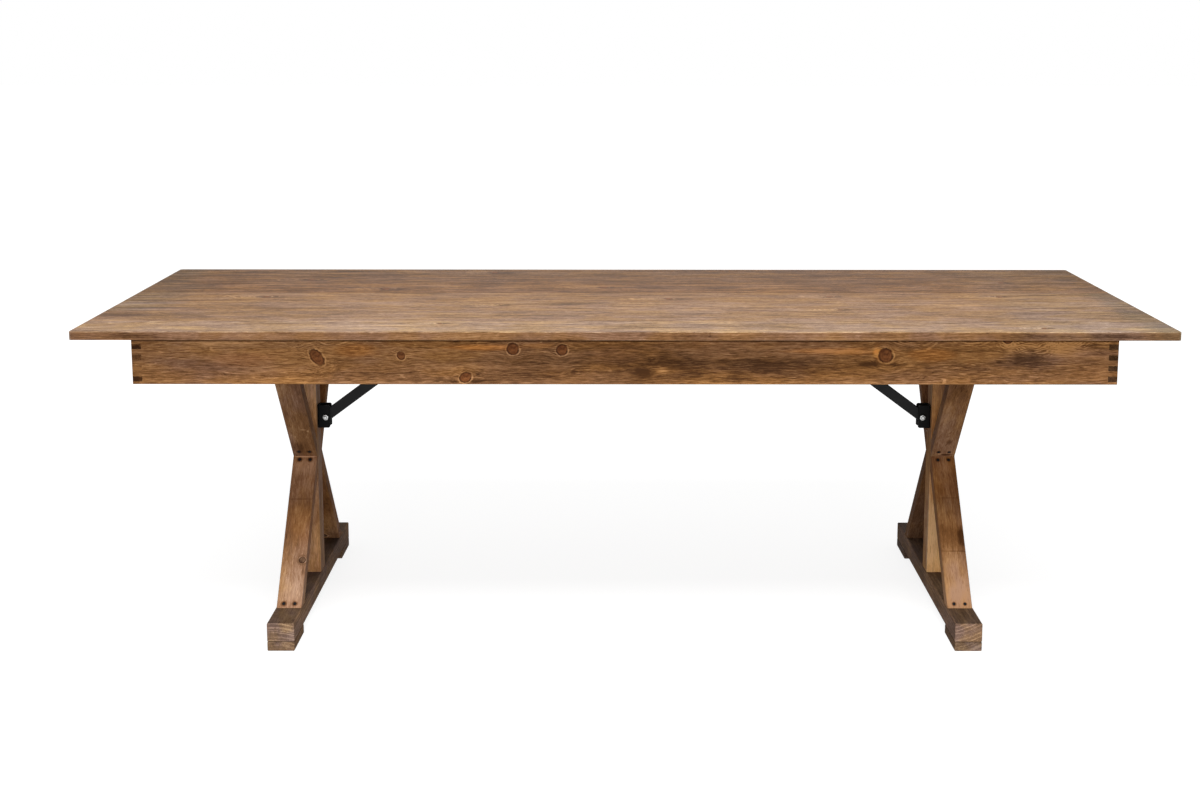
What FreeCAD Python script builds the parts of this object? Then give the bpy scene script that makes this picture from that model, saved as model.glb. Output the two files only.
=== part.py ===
"""Folding sawbuck table: plank top on a box-jointed apron, two trestles that fold inward.

Frame: X along the table, Y from the front to the back, Z up from the floor.
The origin is on the floor under the middle of the top.  Everything on the left
half (negative X) is built once; the right half is its mirror image.
"""
import FreeCAD
import Part
import math
import os
from FreeCAD import Vector

# ---------------------------------------------------------------- overall, mm
TABLE_LENGTH = 2438.4
TABLE_WIDTH = 1016.0
TABLE_HEIGHT = 762.0

# ---------------------------------------------------------------- plank top
TOP_THICKNESS = 19.0
BOARD_COUNT = 7
TOP_CORNER_RADIUS = 9.0
TOP_EDGE_CHAMFER = 1.5
SEAM_CHAMFER = 0.8

# ---------------------------------------------------------------- apron
APRON_HEIGHT = 109.5
APRON_THICKNESS = 21.5
END_OVERHANG = 121.7
SIDE_OVERHANG = 55.3
FINGER_HEIGHT = 12.2
BOTTOM_FINGER = 6.1
APRON_CHAMFER = 1.2
CORNER_BLOCK_LEG = 62.0
CORNER_BLOCK_HEIGHT = 80.0

# ---------------------------------------------------------------- battens
CLEAT_DEPTH = 44.0
BATTEN_WIDTH = 70.0
BATTEN_DEPTH = 38.0

# ---------------------------------------------------------------- trestles
TRESTLE_INSET = 396.7
TIMBER_WIDTH = 59.0
POST_DEPTH = 62.0
ARM_THICKNESS = 32.0
RAIL_DEPTH = 44.0
FOOT_PROUD = 1.75
FOOT_BAR_HEIGHT = 44.0
PAD_HEIGHT = 22.0
PAD_LENGTH = 123.6
FOLD_CLEARANCE = 8.5
ELBOW_HEIGHT = 367.6
ELBOW_PROUD = 6.3
ARM_FOOT_INSET = 109.0
ARM_HEAD_INSET = 117.5
TIMBER_EASE = 1.6

# ---------------------------------------------------------------- butt hinges
HINGE_LENGTH = 76.0
HINGE_SPREAD = 280.0
KNUCKLE_COUNT = 3
KNUCKLE_RADIUS = 4.0
KNUCKLE_GAP = 0.3
KNUCKLE_STANDOFF = 0.4
LEAF_THICKNESS = 2.5
LEAF_HEIGHT = 34.0
LEAF_SETBACK = 0.8
HINGE_PIN_RADIUS = 2.0
RUNNING_CLEARANCE = 0.08

# ---------------------------------------------------------------- leg bracket and its bolt
BRACKET_HEIGHT = 57.0
BRACKET_PLATE = 3.0
BRACKET_BEND = 4.0
BRACKET_CORNER = 3.0
CHANNEL_END_GAP = 5.0
BRACKET_SIDE_GAP = 1.5
PIVOT_TO_TIP = 10.5
LEG_PIVOT_HEIGHT = 462.0
LEG_PIVOT_RISE = 27.0
BOLT_RADIUS = 4.0
HEX_ACROSS_FLATS = 13.0
BOLT_HEAD_HEIGHT = 5.3
NUT_HEIGHT = 6.5
BOLT_PROUD = 3.0

# ---------------------------------------------------------------- folding brace
BRACE_RUN = 341.0
TOP_PIVOT_DROP = 28.0
CHANNEL_WALL = 2.0
CHANNEL_BEND = 3.0
WEB_SETBACK = 10.0
WEB_WINDOW = 78.0
BAR_THICKNESS = 6.0
BAR_HEIGHT = 18.0
BAR_WEB_GAP = 1.5
RIVET_RADIUS = 4.0
OPEN_PIVOT_GAP = 0.4

# ---------------------------------------------------------------- top bracket and its rivet
EAR_THICKNESS = 3.0
EAR_SIDE_GAP = 0.5
EAR_WALL_GAP = 4.0
EAR_ROOT_LENGTH = 36.0
TOP_PLATE_LENGTH = 76.0
TOP_PLATE_WIDTH = 44.0
TOP_PLATE_CORNER = 5.0
TOP_RIVET_RADIUS = 3.0

# ---------------------------------------------------------------- places that follow
UNDERSIDE = TABLE_HEIGHT - TOP_THICKNESS
HALF_LENGTH = TABLE_LENGTH / 2
HALF_WIDTH = TABLE_WIDTH / 2
APRON_END = HALF_LENGTH - END_OVERHANG
APRON_SIDE = HALF_WIDTH - SIDE_OVERHANG
APRON_INSIDE = APRON_SIDE - APRON_THICKNESS
APRON_BOTTOM = UNDERSIDE - APRON_HEIGHT

TIMBER_OUTER = -(HALF_LENGTH - TRESTLE_INSET)
TIMBER_INNER = TIMBER_OUTER + TIMBER_WIDTH
FOOT_OUTER = TIMBER_OUTER - FOOT_PROUD
FOOT_INNER = TIMBER_INNER + FOOT_PROUD
TRESTLE_HALF = APRON_INSIDE - FOLD_CLEARANCE
FOOT_TOP = PAD_HEIGHT + FOOT_BAR_HEIGHT
RAIL_TOP = UNDERSIDE - CLEAT_DEPTH
RAIL_BOTTOM = RAIL_TOP - RAIL_DEPTH
POST_FRONT = -POST_DEPTH / 2

HINGE_X = TIMBER_INNER + KNUCKLE_RADIUS + KNUCKLE_STANDOFF
HINGE_Z = RAIL_TOP

# The channel passes round the ears and the bar when folded, and turns in the leg bracket.
EAR_TIP_RADIUS = BAR_HEIGHT / 2
EAR_OUTSIDE = BAR_THICKNESS / 2 + EAR_SIDE_GAP + EAR_THICKNESS
CHANNEL_WIDTH = 2 * (EAR_OUTSIDE + EAR_WALL_GAP + CHANNEL_WALL)
CHANNEL_DEPTH = BAR_HEIGHT + 2 * (BAR_WEB_GAP + CHANNEL_WALL)
BRACKET_WIDTH = CHANNEL_WIDTH + 2 * (BRACKET_SIDE_GAP + BRACKET_PLATE)
LEG_PIVOT_REACH = BRACKET_PLATE + CHANNEL_END_GAP + CHANNEL_DEPTH / 2
BRACKET_REACH = LEG_PIVOT_REACH + PIVOT_TO_TIP

LEG_PIVOT = Vector(TIMBER_INNER + LEG_PIVOT_REACH, 0, LEG_PIVOT_HEIGHT)
TOP_PIVOT = Vector(LEG_PIVOT.x + BRACE_RUN, 0, UNDERSIDE - TOP_PIVOT_DROP)
# Where the leg pivot lies once the trestle has folded a quarter turn about its hinge.
FOLDED_PIVOT = Vector(HINGE_X + HINGE_Z - LEG_PIVOT.z, 0, HINGE_Z + LEG_PIVOT.x - HINGE_X)
# Straight when the table stands, doubled back when it is folded: the sum of the
# two links is the open distance and their difference is the folded distance.
OPEN_SPAN = (TOP_PIVOT - LEG_PIVOT).Length
FOLDED_SPAN = (TOP_PIVOT - FOLDED_PIVOT).Length
CHANNEL_REACH = (OPEN_SPAN + FOLDED_SPAN) / 2
BAR_REACH = (OPEN_SPAN - FOLDED_SPAN) / 2
BRACE_ANGLE = math.degrees(math.atan2(TOP_PIVOT.z - LEG_PIVOT.z, BRACE_RUN))

X_AXIS = Vector(1, 0, 0)
Y_AXIS = Vector(0, 1, 0)
Z_AXIS = Vector(0, 0, 1)
ORIGIN = Vector(0, 0, 0)


# ---------------------------------------------------------------- shape helpers
def box(x0, x1, y0, y1, z0, z1):
    return Part.makeBox(x1 - x0, y1 - y0, z1 - z0, Vector(x0, y0, z0))


def prism(points, travel):
    """Solid swept by a closed straight-sided outline along travel."""
    outline = Part.makePolygon(list(points) + [points[0]])
    return Part.Face(outline).extrude(travel)


def rod_y(x, z, radius, y0, y1):
    return Part.makeCylinder(radius, y1 - y0, Vector(x, y0, z), Y_AXIS)


def straight_edges(shape, direction, keep=lambda middle: True):
    """Straight edges that run along direction and whose middle passes keep."""
    found = []
    for edge in shape.Edges:
        start = edge.Vertexes[0].Point
        run = edge.Vertexes[-1].Point - start
        straight = isinstance(edge.Curve, Part.Line)
        if straight and run.cross(direction).Length < 1e-6 * run.Length:
            if keep(start + run * 0.5):
                found.append(edge)
    return found


def eased(shape, direction):
    """The timber with its long edges, those that run along direction, planed to small flats."""
    return shape.makeChamfer(TIMBER_EASE, straight_edges(shape, direction))


def capsule(reach, radius, y0, y1):
    """Plate with round ends about two pivots: the origin, and reach along +X."""
    top_start = Vector(0, y0, radius)
    top_end = Vector(reach, y0, radius)
    far = Vector(reach + radius, y0, 0)
    low_end = Vector(reach, y0, -radius)
    low_start = Vector(0, y0, -radius)
    near = Vector(-radius, y0, 0)
    edges = [
        Part.LineSegment(top_start, top_end).toShape(),
        Part.Arc(top_end, far, low_end).toShape(),
        Part.LineSegment(low_end, low_start).toShape(),
        Part.Arc(low_start, near, top_start).toShape(),
    ]
    return Part.Face(Part.Wire(edges)).extrude(Vector(0, y1 - y0, 0))


def hexagon_y(x, z, across_flats, y0, y1):
    """Hexagonal bolt head or nut along Y, with a flat side up."""
    corner = across_flats / math.sqrt(3)
    points = []
    for step in range(6):
        angle = math.radians(60 * step)
        points.append(Vector(x + corner * math.cos(angle), y0, z + corner * math.sin(angle)))
    return prism(points, Vector(0, y1 - y0, 0))


# ---------------------------------------------------------------- plank top and its frame
def top_board(number):
    """One plank of the top, counted from the front, with a V-groove half at each seam."""
    width = TABLE_WIDTH / BOARD_COUNT
    y0 = -HALF_WIDTH + number * width
    y1 = y0 + width
    board = box(-HALF_LENGTH, HALF_LENGTH, y0, y1, UNDERSIDE, TABLE_HEIGHT)
    outer = []
    seams = []
    for y in (y0, y1):
        if abs(abs(y) - HALF_WIDTH) < 1e-6:
            outer.append(y)
        else:
            seams.append(y)
    for y in outer:
        corners = straight_edges(board, Z_AXIS, lambda middle: abs(middle.y - y) < 1e-6)
        board = board.makeFillet(TOP_CORNER_RADIUS, corners)
    for y in seams:
        lips = straight_edges(board, X_AXIS, lambda middle: abs(middle.y - y) < 1e-6)
        board = board.makeChamfer(SEAM_CHAMFER, lips)
    rim = []
    for edge in board.Edges:
        low, high = edge.BoundBox.ZMin, edge.BoundBox.ZMax
        level = abs(low - TABLE_HEIGHT) < 1e-6 and high - low < 1e-6
        middle = edge.BoundBox.Center
        on_end = abs(abs(middle.x) - HALF_LENGTH) < TOP_CORNER_RADIUS
        on_side = any(abs(middle.y - y) < TOP_CORNER_RADIUS for y in outer)
        if level and (on_end or on_side):
            rim.append(edge)
    return board.makeChamfer(TOP_EDGE_CHAMFER, rim)


def long_apron(side):
    """Front (side -1) or back (side +1) apron, notched at both ends for the end aprons."""
    y0, y1 = sorted((side * APRON_SIDE, side * APRON_INSIDE))
    apron = box(-APRON_END, APRON_END, y0, y1, APRON_BOTTOM, UNDERSIDE)
    low = APRON_BOTTOM + BOTTOM_FINGER
    while low < UNDERSIDE - 1e-6:
        high = min(low + FINGER_HEIGHT, UNDERSIDE)
        for end in (-1, 1):
            x0, x1 = sorted((end * APRON_END, end * (APRON_END - APRON_THICKNESS)))
            apron = apron.cut(box(x0, x1, y0, y1, low, high))
        low += 2 * FINGER_HEIGHT
    return apron


def end_apron(side, long_aprons):
    """Left (-1) or right (+1) apron: its fingers are what the long aprons' notches leave."""
    x0, x1 = sorted((side * APRON_END, side * (APRON_END - APRON_THICKNESS)))
    apron = box(x0, x1, -APRON_SIDE, APRON_SIDE, APRON_BOTTOM, UNDERSIDE)
    for long_one in long_aprons:
        apron = apron.cut(long_one)
    return apron


def with_soft_bottom(apron, direction):
    lips = straight_edges(apron, direction, lambda middle: abs(middle.z - APRON_BOTTOM) < 1e-6)
    return apron.makeChamfer(APRON_CHAMFER, lips)


def corner_blocks():
    """Triangular blocks glued inside the four corners of the apron, under the top."""
    end = APRON_END - APRON_THICKNESS
    low = UNDERSIDE - CORNER_BLOCK_HEIGHT
    blocks = []
    for x_side in (-1, 1):
        for y_side in (-1, 1):
            corner = Vector(x_side * end, y_side * APRON_INSIDE, low)
            along_x = corner - X_AXIS * (x_side * CORNER_BLOCK_LEG)
            along_y = corner - Y_AXIS * (y_side * CORNER_BLOCK_LEG)
            blocks.append(prism([corner, along_x, along_y], Z_AXIS * CORNER_BLOCK_HEIGHT))
    return Part.makeCompound(blocks)


def center_batten():
    batten = box(-BATTEN_WIDTH / 2, BATTEN_WIDTH / 2, -APRON_INSIDE, APRON_INSIDE,
                 UNDERSIDE - BATTEN_DEPTH, UNDERSIDE)
    return eased(batten, Y_AXIS)


def hinge_cleat():
    """Cross timber under the top that carries the trestle's hinges."""
    cleat = box(TIMBER_OUTER, TIMBER_INNER, -APRON_INSIDE, APRON_INSIDE, RAIL_TOP, UNDERSIDE)
    return eased(cleat, Y_AXIS)


# ---------------------------------------------------------------- trestle timbers
def center_post():
    post = box(TIMBER_OUTER, TIMBER_INNER, POST_FRONT, -POST_FRONT, FOOT_TOP, RAIL_BOTTOM)
    return eased(post, Z_AXIS)


def top_rail():
    rail = box(TIMBER_OUTER, TIMBER_INNER, -TRESTLE_HALF, TRESTLE_HALF, RAIL_BOTTOM, RAIL_TOP)
    return eased(rail, Y_AXIS)


def foot_bar():
    bar = box(FOOT_OUTER, FOOT_INNER, -TRESTLE_HALF, TRESTLE_HALF, PAD_HEIGHT, FOOT_TOP)
    return eased(bar, Y_AXIS)


def foot_pads():
    """Short blocks under both ends of the foot bar, flush with its ends."""
    pads = []
    for y0 in (-TRESTLE_HALF, TRESTLE_HALF - PAD_LENGTH):
        pad = box(FOOT_OUTER, FOOT_INNER, y0, y0 + PAD_LENGTH, 0, PAD_HEIGHT)
        pads.append(eased(pad, Y_AXIS))
    return Part.makeCompound(pads)


def front_arm(end_y, end_z):
    """Front arm from the elbow at the post to a cross timber at height end_z.

    Its front face runs from the elbow to (end_y, end_z).  It is bevelled against the
    post, cut level where it meets the other arm and cut level at the cross timber.
    """
    elbow = Vector(TIMBER_OUTER, POST_FRONT - ELBOW_PROUD, ELBOW_HEIGHT)
    tip = Vector(TIMBER_OUTER, end_y, end_z)
    run = tip - elbow
    level_depth = ARM_THICKNESS * run.Length / abs(run.z)
    tip_back = tip + Y_AXIS * level_depth
    reach = (POST_FRONT - tip_back.y) / -run.y
    bevel_end = tip_back - run * reach
    bevel_start = Vector(TIMBER_OUTER, POST_FRONT, ELBOW_HEIGHT)
    arm = prism([elbow, tip, tip_back, bevel_end, bevel_start], X_AXIS * TIMBER_WIDTH)
    return eased(arm, run)


def trestle_arms():
    """The four arms of one trestle, which make its X with the post through the middle."""
    upper = front_arm(-(TRESTLE_HALF - ARM_HEAD_INSET), RAIL_BOTTOM)
    lower = front_arm(-(TRESTLE_HALF - ARM_FOOT_INSET), FOOT_TOP)
    return {
        "arm_front_upper": upper,
        "arm_front_lower": lower,
        "arm_back_upper": upper.mirror(ORIGIN, Y_AXIS),
        "arm_back_lower": lower.mirror(ORIGIN, Y_AXIS),
    }


# ---------------------------------------------------------------- butt hinges
def hinge_leaf(up):
    """One leaf: the fixed one (up +1) on the cleat, the moving one (up -1) on the rail."""
    pitch = HINGE_LENGTH / KNUCKLE_COUNT
    start = HINGE_Z + up * (KNUCKLE_RADIUS + LEAF_SETBACK)
    z0, z1 = sorted((start, HINGE_Z + up * LEAF_HEIGHT))
    skin = TIMBER_INNER + LEAF_THICKNESS
    leaf = box(TIMBER_INNER, skin, -HINGE_LENGTH / 2, HINGE_LENGTH / 2, z0, z1)
    first = 0 if up > 0 else 1
    for number in range(first, KNUCKLE_COUNT, 2):
        y0 = -HINGE_LENGTH / 2 + number * pitch + KNUCKLE_GAP / 2
        y1 = y0 + pitch - KNUCKLE_GAP
        tab_z0, tab_z1 = sorted((HINGE_Z, start))
        leaf = leaf.fuse(box(TIMBER_INNER, skin, y0, y1, tab_z0, tab_z1))
        leaf = leaf.fuse(rod_y(HINGE_X, HINGE_Z, KNUCKLE_RADIUS, y0, y1))
    bore = HINGE_PIN_RADIUS + (0 if up > 0 else RUNNING_CLEARANCE)
    leaf = leaf.cut(rod_y(HINGE_X, HINGE_Z, bore, -HINGE_LENGTH, HINGE_LENGTH))
    return at_both_hinges(leaf.removeSplitter())


def hinge_pin():
    """Pin of one hinge, flush with the ends of the knuckles."""
    half = HINGE_LENGTH / 2 - KNUCKLE_GAP / 2
    return at_both_hinges(rod_y(HINGE_X, HINGE_Z, HINGE_PIN_RADIUS, -half, half))


def at_both_hinges(piece):
    return Part.makeCompound([piece.translated(Y_AXIS * (side * HINGE_SPREAD)) for side in (-1, 1)])


# ---------------------------------------------------------------- leg bracket
def leg_bracket():
    """Bent steel clevis on the post's inner face that holds the brace's lower pivot."""
    bottom = LEG_PIVOT_HEIGHT - LEG_PIVOT_RISE
    half = BRACKET_WIDTH / 2
    tip = TIMBER_INNER + BRACKET_REACH
    bracket = box(TIMBER_INNER, tip, -half, half, bottom, bottom + BRACKET_HEIGHT)
    bends = straight_edges(bracket, Z_AXIS, lambda middle: abs(middle.x - TIMBER_INNER) < 1e-6)
    bracket = bracket.makeFillet(BRACKET_BEND, bends)
    corners = straight_edges(bracket, Y_AXIS, lambda middle: abs(middle.x - tip) < 1e-6)
    bracket = bracket.makeChamfer(BRACKET_CORNER, corners)
    inside = box(TIMBER_INNER + BRACKET_PLATE, tip + 1, -half + BRACKET_PLATE, half - BRACKET_PLATE,
                 bottom - 1, bottom + BRACKET_HEIGHT + 1)
    bore = rod_y(LEG_PIVOT.x, LEG_PIVOT.z, BOLT_RADIUS, -BRACKET_WIDTH, BRACKET_WIDTH)
    return bracket.cut(inside).cut(bore)


def leg_bolt():
    """Hex bolt through the clevis, its head at the back and its end just past the nut."""
    half = BRACKET_WIDTH / 2
    shank = rod_y(LEG_PIVOT.x, LEG_PIVOT.z, BOLT_RADIUS, -half - NUT_HEIGHT - BOLT_PROUD, half)
    head = hexagon_y(LEG_PIVOT.x, LEG_PIVOT.z, HEX_ACROSS_FLATS, half, half + BOLT_HEAD_HEIGHT)
    return shank.fuse(head)


def leg_nut():
    half = BRACKET_WIDTH / 2
    nut = hexagon_y(LEG_PIVOT.x, LEG_PIVOT.z, HEX_ACROSS_FLATS, -half - NUT_HEIGHT, -half)
    return nut.cut(rod_y(LEG_PIVOT.x, LEG_PIVOT.z, BOLT_RADIUS, -half - NUT_HEIGHT, -half))


# ---------------------------------------------------------------- folding brace
def along_brace(shape):
    """Place a link drawn along +X from the origin: leg pivot at the origin, brace slope."""
    shape.rotate(ORIGIN, Y_AXIS, -BRACE_ANGLE)
    shape.translate(LEG_PIVOT)
    return shape


def brace_channel():
    """Long link: a steel channel, open upward, from the leg bracket to the middle joint."""
    half = CHANNEL_WIDTH / 2
    inner = half - CHANNEL_WALL
    depth = CHANNEL_DEPTH / 2
    web = -depth + CHANNEL_WALL
    outside = box(-depth, CHANNEL_REACH + depth, -half, half, -depth, depth)
    bends = straight_edges(outside, X_AXIS, lambda middle: middle.z < 0)
    outside = outside.makeFillet(CHANNEL_BEND, bends)
    inside = box(-2 * depth, CHANNEL_REACH + 2 * depth, -inner, inner, web, 2 * depth)
    channel = outside.cut(inside).common(capsule(CHANNEL_REACH, depth, -half, half))
    for x0, x1 in ((-depth, WEB_SETBACK), (CHANNEL_REACH - WEB_WINDOW, CHANNEL_REACH + depth)):
        channel = channel.cut(box(x0, x1, -inner, inner, -depth, web))
    channel = channel.cut(rod_y(0, 0, BOLT_RADIUS + RUNNING_CLEARANCE, -half, half))
    channel = channel.cut(rod_y(CHANNEL_REACH, 0, RIVET_RADIUS, -half, half))
    return along_brace(channel)


def brace_rivets():
    """Middle joint: a flush rivet in each wall of the channel, facing the bar's eye."""
    wall = CHANNEL_WIDTH / 2
    tip = BAR_THICKNESS / 2 + OPEN_PIVOT_GAP
    rivets = []
    for side in (-1, 1):
        y0, y1 = sorted((side * tip, side * wall))
        rivets.append(rod_y(CHANNEL_REACH, 0, RIVET_RADIUS, y0, y1))
    return along_brace(Part.makeCompound(rivets))


def brace_bar():
    """Short link: a flat bar from the middle joint up to the bracket under the top."""
    bar = capsule(BAR_REACH, BAR_HEIGHT / 2, -BAR_THICKNESS / 2, BAR_THICKNESS / 2)
    bar = bar.cut(rod_y(0, 0, RIVET_RADIUS + RUNNING_CLEARANCE, -BAR_THICKNESS, BAR_THICKNESS))
    eye = TOP_RIVET_RADIUS + RUNNING_CLEARANCE
    bar = bar.cut(rod_y(BAR_REACH, 0, eye, -BAR_THICKNESS, BAR_THICKNESS))
    bar.translate(X_AXIS * CHANNEL_REACH)
    return along_brace(bar)


def top_bracket():
    """Plate screwed under the top with two ears that hold the bar's upper pivot."""
    plate_low = UNDERSIDE - BRACKET_PLATE
    plate = box(TOP_PIVOT.x - TOP_PLATE_LENGTH / 2, TOP_PIVOT.x + TOP_PLATE_LENGTH / 2,
                -TOP_PLATE_WIDTH / 2, TOP_PLATE_WIDTH / 2, plate_low, UNDERSIDE)
    plate = plate.makeChamfer(TOP_PLATE_CORNER, straight_edges(plate, Z_AXIS))
    bracket = plate
    for side in (-1, 1):
        y0, y1 = sorted((side * (EAR_OUTSIDE - EAR_THICKNESS), side * EAR_OUTSIDE))
        bracket = bracket.fuse(ear(y0, y1, plate_low))
    bore = rod_y(TOP_PIVOT.x, TOP_PIVOT.z, TOP_RIVET_RADIUS, -TOP_PLATE_WIDTH, TOP_PLATE_WIDTH)
    return bracket.cut(bore)


def ear(y0, y1, plate_low):
    """Tapered ear: round about the pivot, its sides tangent lines that widen to the plate."""
    drop = plate_low - TOP_PIVOT.z
    half_root = EAR_ROOT_LENGTH / 2
    lean = math.asin(EAR_TIP_RADIUS / math.hypot(drop, half_root)) - math.atan2(half_root, drop)
    touch_x = EAR_TIP_RADIUS * math.cos(lean)
    touch_z = EAR_TIP_RADIUS * math.sin(lean)
    right = TOP_PIVOT + Vector(touch_x, y0, touch_z)
    left = TOP_PIVOT + Vector(-touch_x, y0, touch_z)
    bottom = TOP_PIVOT + Vector(0, y0, -EAR_TIP_RADIUS)
    root_left = TOP_PIVOT + Vector(-half_root, y0, drop)
    root_right = TOP_PIVOT + Vector(half_root, y0, drop)
    edges = [
        Part.Arc(right, bottom, left).toShape(),
        Part.LineSegment(left, root_left).toShape(),
        Part.LineSegment(root_left, root_right).toShape(),
        Part.LineSegment(root_right, right).toShape(),
    ]
    return Part.Face(Part.Wire(edges)).extrude(Vector(0, y1 - y0, 0))


def top_rivet():
    """Rivet through both ears and the bar's eye, flush with the ears so the channel clears it."""
    return rod_y(TOP_PIVOT.x, TOP_PIVOT.z, TOP_RIVET_RADIUS, -EAR_OUTSIDE, EAR_OUTSIDE)


# ---------------------------------------------------------------- assembly
def left_half():
    """Every piece that each end of the table has, placed at the left end."""
    pieces = {
        "hinge_cleat": hinge_cleat(),
        "center_post": center_post(),
        "top_rail": top_rail(),
        "foot_bar": foot_bar(),
        "foot_pads": foot_pads(),
        "hinge_fixed_leaves": hinge_leaf(1),
        "hinge_moving_leaves": hinge_leaf(-1),
        "hinge_pins": hinge_pin(),
        "leg_bracket": leg_bracket(),
        "leg_bolt": leg_bolt(),
        "leg_nut": leg_nut(),
        "brace_channel": brace_channel(),
        "brace_rivets": brace_rivets(),
        "brace_bar": brace_bar(),
        "top_bracket": top_bracket(),
        "top_rivet": top_rivet(),
    }
    pieces.update(trestle_arms())
    return pieces


def build():
    nodes = {}
    for number in range(BOARD_COUNT):
        nodes["top_board_%d" % (number + 1)] = top_board(number)
    long_ones = [long_apron(-1), long_apron(1)]
    nodes["front_apron"] = with_soft_bottom(long_ones[0], X_AXIS)
    nodes["back_apron"] = with_soft_bottom(long_ones[1], X_AXIS)
    nodes["left_apron"] = with_soft_bottom(end_apron(-1, long_ones), Y_AXIS)
    nodes["right_apron"] = with_soft_bottom(end_apron(1, long_ones), Y_AXIS)
    nodes["corner_blocks"] = corner_blocks()
    nodes["center_batten"] = center_batten()
    for name, shape in left_half().items():
        nodes["left_" + name] = shape
        nodes["right_" + name] = shape.mirror(ORIGIN, X_AXIS)
    return nodes


def main():
    os.makedirs("parts", exist_ok=True)
    for name, shape in build().items():
        shape.exportStep("parts/%s.step" % name)


main()
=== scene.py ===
import bpy
import math
import random
from mathutils import Matrix, Vector


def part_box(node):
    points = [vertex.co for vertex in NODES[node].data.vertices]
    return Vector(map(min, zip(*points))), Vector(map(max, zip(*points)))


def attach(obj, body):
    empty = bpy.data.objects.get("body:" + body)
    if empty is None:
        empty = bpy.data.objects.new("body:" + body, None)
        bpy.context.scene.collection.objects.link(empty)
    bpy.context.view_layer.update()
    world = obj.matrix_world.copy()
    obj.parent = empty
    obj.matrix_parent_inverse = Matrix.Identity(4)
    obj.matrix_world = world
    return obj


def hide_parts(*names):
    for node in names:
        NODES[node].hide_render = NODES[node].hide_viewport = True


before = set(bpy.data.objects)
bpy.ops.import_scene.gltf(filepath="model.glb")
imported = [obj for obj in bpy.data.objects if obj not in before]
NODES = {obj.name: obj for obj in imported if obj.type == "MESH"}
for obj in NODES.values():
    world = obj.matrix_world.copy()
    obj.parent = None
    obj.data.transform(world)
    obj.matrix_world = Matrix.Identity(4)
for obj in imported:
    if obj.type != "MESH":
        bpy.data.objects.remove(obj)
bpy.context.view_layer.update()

SIDES = (("left", -1), ("right", 1))


# --- shader helpers
class Net:
    """Short calls that add shader nodes to one tree and link them."""

    def __init__(self, tree):
        self.tree = tree

    def node(self, kind, **settings):
        made = self.tree.nodes.new("ShaderNode" + kind)
        for name, value in settings.items():
            setattr(made, name, value)
        return made

    def feed(self, socket, value):
        if isinstance(value, bpy.types.NodeSocket):
            self.tree.links.new(value, socket)
        else:
            socket.default_value = value

    def filled(self, kind, values, output=0, **settings):
        """One output of a new node whose inputs are filled, by name or number."""
        made = self.node(kind, **settings)
        for key, value in values.items():
            if value is not None:
                self.feed(made.inputs[key], value)
        return made.outputs[output]

    def math(self, operation, *values, clamp=False):
        return self.filled("Math", dict(enumerate(values)), operation=operation, use_clamp=clamp)

    def times(self, a, b, clamp=False):
        return self.math("MULTIPLY", a, b, clamp=clamp)

    def times_plus(self, a, b, c, clamp=False):
        """a times b, plus c."""
        return self.math("MULTIPLY_ADD", a, b, c, clamp=clamp)

    def vec(self, operation, a, b=None, scale=None):
        output = "Value" if operation in {"DOT_PRODUCT", "LENGTH"} else "Vector"
        return self.filled("VectorMath", {0: a, 1: b, "Scale": scale}, output, operation=operation)

    def combine(self, *values):
        return self.filled("CombineXYZ", dict(enumerate(values)))

    def mix(self, factor, a, b, blend="MIX"):
        return self.filled("Mix", {"Factor": factor, "A": a, "B": b}, "Result",
                           data_type="RGBA", blend_type=blend)

    def step(self, value, low, high):
        """Smooth step from 0 at low to 1 at high."""
        return self.filled("MapRange", {"Value": value, "From Min": low, "From Max": high},
                           interpolation_type="SMOOTHSTEP")

    def near(self, value, centre, width):
        """1 where value equals centre, falling smoothly to 0 at a distance of width."""
        return self.step(self.math("ABSOLUTE", self.math("SUBTRACT", value, centre)), width, 0.0)

    def sway(self, value, amount, base):
        """base, moved by amount times how far value lies from a half."""
        return self.times_plus(self.math("SUBTRACT", value, 0.5), amount, base)

    def tint(self, mask, color, factor):
        """color, times factor where mask is 1."""
        return self.mix(mask, color, self.mix(1.0, color, (*factor, 1.0), "MULTIPLY"))

    def away(self, position, point, radii):
        """Distance from a point, counted in its three radii."""
        offset = self.vec("SUBTRACT", position, tuple(point))
        return self.vec("LENGTH", self.vec("DIVIDE", offset, tuple(radii)))

    def noise(self, vector, scale=1.0, detail=2.0, rough=0.5):
        return self.filled("TexNoise", {"Vector": vector, "Scale": scale, "Detail": detail,
                                        "Roughness": rough})

    def stretched(self, vector, along, across, detail=2.0, rough=0.5):
        """Noise drawn out along X: along and across are in cycles a metre."""
        return self.noise(self.vec("MULTIPLY", vector, (along, across, across)), 1.0, detail, rough)

    def seen(self):
        """1 for rays that show the floor or world to the eye, straight, mirrored or refracted."""
        path = self.node("LightPath").outputs
        straight_or_mirrored = self.math("MAXIMUM", path["Is Camera Ray"], path["Is Glossy Ray"])
        return self.math("MAXIMUM", straight_or_mirrored, path["Is Transmission Ray"])


def group_tree(name, inputs, outputs):
    """New shader group with inputs of their defaults' kind; of the outputs only P is a vector."""
    tree = bpy.data.node_groups.new(name, "ShaderNodeTree")
    for label, default in inputs.items():
        kind = "NodeSocketVector" if isinstance(default, tuple) else "NodeSocketFloat"
        socket = tree.interface.new_socket(label, in_out="INPUT", socket_type=kind)
        socket.default_value = default
    for label in outputs:
        kind = "NodeSocketVector" if label == "P" else "NodeSocketFloat"
        tree.interface.new_socket(label, in_out="OUTPUT", socket_type=kind)
    given = tree.nodes.new("NodeGroupInput").outputs
    return Net(tree), given, tree.nodes.new("NodeGroupOutput").inputs


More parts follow.
